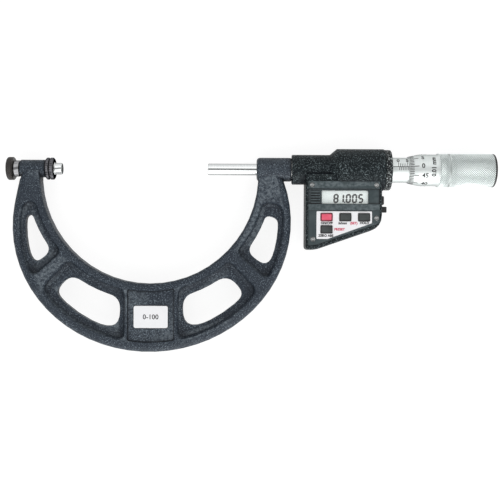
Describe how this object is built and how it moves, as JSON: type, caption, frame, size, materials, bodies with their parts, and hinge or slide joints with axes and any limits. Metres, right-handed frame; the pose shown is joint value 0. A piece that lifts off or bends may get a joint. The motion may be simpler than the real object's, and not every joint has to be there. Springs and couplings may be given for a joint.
{
  "type": "digital outside micrometer",
  "caption": "Large C-frame outside micrometer with a clamped interchangeable anvil, keyed spindle, knurled thimble, and a display case hung under the barrel",
  "frame": {"origin": "centre of the anvil's measuring face", "axes": "+X runs along the measuring axis from the anvil to the thimble, +Y points away from the frame's bow, +Z comes out of the display"},
  "size_m": [0.2701, 0.113, 0.0232],
  "materials": {
    "frame_paint": "dark slate crinkle paint",
    "head_paint": "black crinkle paint",
    "ground_steel": "ground and polished",
    "satin_chrome": "satin chrome",
    "black_steel": "black oxide",
    "case_plastic": "fine grain",
    "clear_lens": "clear and polished",
    "display_glass": "pale grey green",
    "white_panel": "printed film",
    "red_key": "moulded",
    "dark_key": "moulded",
    "circuit": "solder mask",
    "brass": "machined",
    "rubber": "matt"
  },
  "bodies": {
    "body": {"frame": "frame_paint", "range_label": "white_panel", "spindle_bush": "brass", "barrel_tube": "ground_steel", "head_housing": "head_paint", "rear_ring": "head_paint", "sleeve": "satin_chrome", "spindle_nut": "ground_steel", "adjusting_nut": "ground_steel", "rotor_bearing": "brass", "encoder_stator": "circuit", "face_plate": "case_plastic", "lcd_window": "clear_lens", "lcd_panel": "display_glass", "keypad_overlay": "white_panel", "face_screw_1": "ground_steel", "face_screw_2": "ground_steel", "face_screw_3": "ground_steel", "face_screw_4": "ground_steel", "circuit_board": "circuit", "switch_mat": "rubber", "contact_strip": "rubber", "ribbon_cable": "brass", "battery": "ground_steel", "battery_holder": "dark_key", "battery_contact": "brass", "output_port": "dark_key"},
    "rotor": {"encoder_rotor": "brass", "rotor_key": "ground_steel"},
    "spindle": {"spindle": "ground_steel", "thimble": "satin_chrome", "friction_spring": "ground_steel", "thimble_screw": "ground_steel"},
    "friction_thimble": {"friction_thimble": "satin_chrome"},
    "power_button": {"power_button": "red_key"},
    "units_button": {"units_button": "dark_key"},
    "hold_button": {"hold_button": "dark_key"},
    "zero_button": {"zero_button": "dark_key"},
    "clamp_washer": {"clamp_washer": "ground_steel"},
    "clamp_knob": {"clamp_knob": "black_steel"},
    "anvil": {"anvil": "ground_steel", "anvil_nut_front": "black_steel", "anvil_nut_rear": "black_steel"},
    "cap_seal": {"cap_seal": "rubber"},
    "battery_cap": {"battery_cap": "case_plastic"},
    "port_cover": {"port_cover": "rubber"}
  },
  "joints": [
    {"name": "spindle_turn", "type": "hinge", "parent": "body", "child": "rotor", "pos_m": [0.14675, 0, 0], "axis": [1, 0, 0], "range_deg": [-4324, 13677]},
    {"name": "spindle_feed", "type": "slide", "parent": "rotor", "child": "spindle", "axis": [1, 0, 0], "range_m": [-0.006, 0.019]},
    {"name": "friction_slip", "type": "hinge", "parent": "spindle", "child": "friction_thimble", "pos_m": [0.227, 0, 0], "axis": [1, 0, 0], "continuous": true},
    {"name": "power_button_press", "type": "slide", "parent": "body", "child": "power_button", "axis": [0, 0, -1], "range_m": [0, 0.0007], "stiffness_N_per_m": 400, "springref_m": -0.0005},
    {"name": "units_button_press", "type": "slide", "parent": "body", "child": "units_button", "axis": [0, 0, -1], "range_m": [0, 0.0007], "stiffness_N_per_m": 400, "springref_m": -0.0005},
    {"name": "hold_button_press", "type": "slide", "parent": "body", "child": "hold_button", "axis": [0, 0, -1], "range_m": [0, 0.0007], "stiffness_N_per_m": 400, "springref_m": -0.0005},
    {"name": "zero_button_press", "type": "slide", "parent": "body", "child": "zero_button", "axis": [0, 0, -1], "range_m": [0, 0.0007], "stiffness_N_per_m": 400, "springref_m": -0.0005},
    {"name": "washer_travel", "type": "slide", "parent": "body", "child": "clamp_washer", "axis": [-1, 0, 0], "range_m": [0, 0.006]},
    {"name": "clamp_turn", "type": "hinge", "parent": "clamp_washer", "child": "clamp_knob", "pos_m": [-0.0297, 0, 0], "axis": [-1, 0, 0], "range_deg": [0, 2880.5]},
    {"name": "anvil_draw", "type": "slide", "parent": "body", "child": "anvil", "axis": [1, 0, 0], "range_m": [0, 0.024]},
    {"name": "seal_travel", "type": "slide", "parent": "body", "child": "cap_seal", "axis": [0, 0, -1], "range_m": [0, 0.003]},
    {"name": "cap_turn", "type": "hinge", "parent": "cap_seal", "child": "battery_cap", "pos_m": [0.1504, -0.0242, -0.0112], "axis": [0, 0, -1], "range_deg": [0, 1080.4]},
    {"name": "cover_pull", "type": "slide", "parent": "body", "child": "port_cover", "axis": [1, 0, 0], "range_m": [0, 0.006]}
  ],
  "couplings": [
    {"joint": "spindle_turn", "follows": "spindle_feed", "rad_per_m": 12566},
    {"joint": "clamp_turn", "follows": "washer_travel", "rad_per_m": 8377.6},
    {"joint": "cap_turn", "follows": "seal_travel", "rad_per_m": 6283.2}
  ]
}
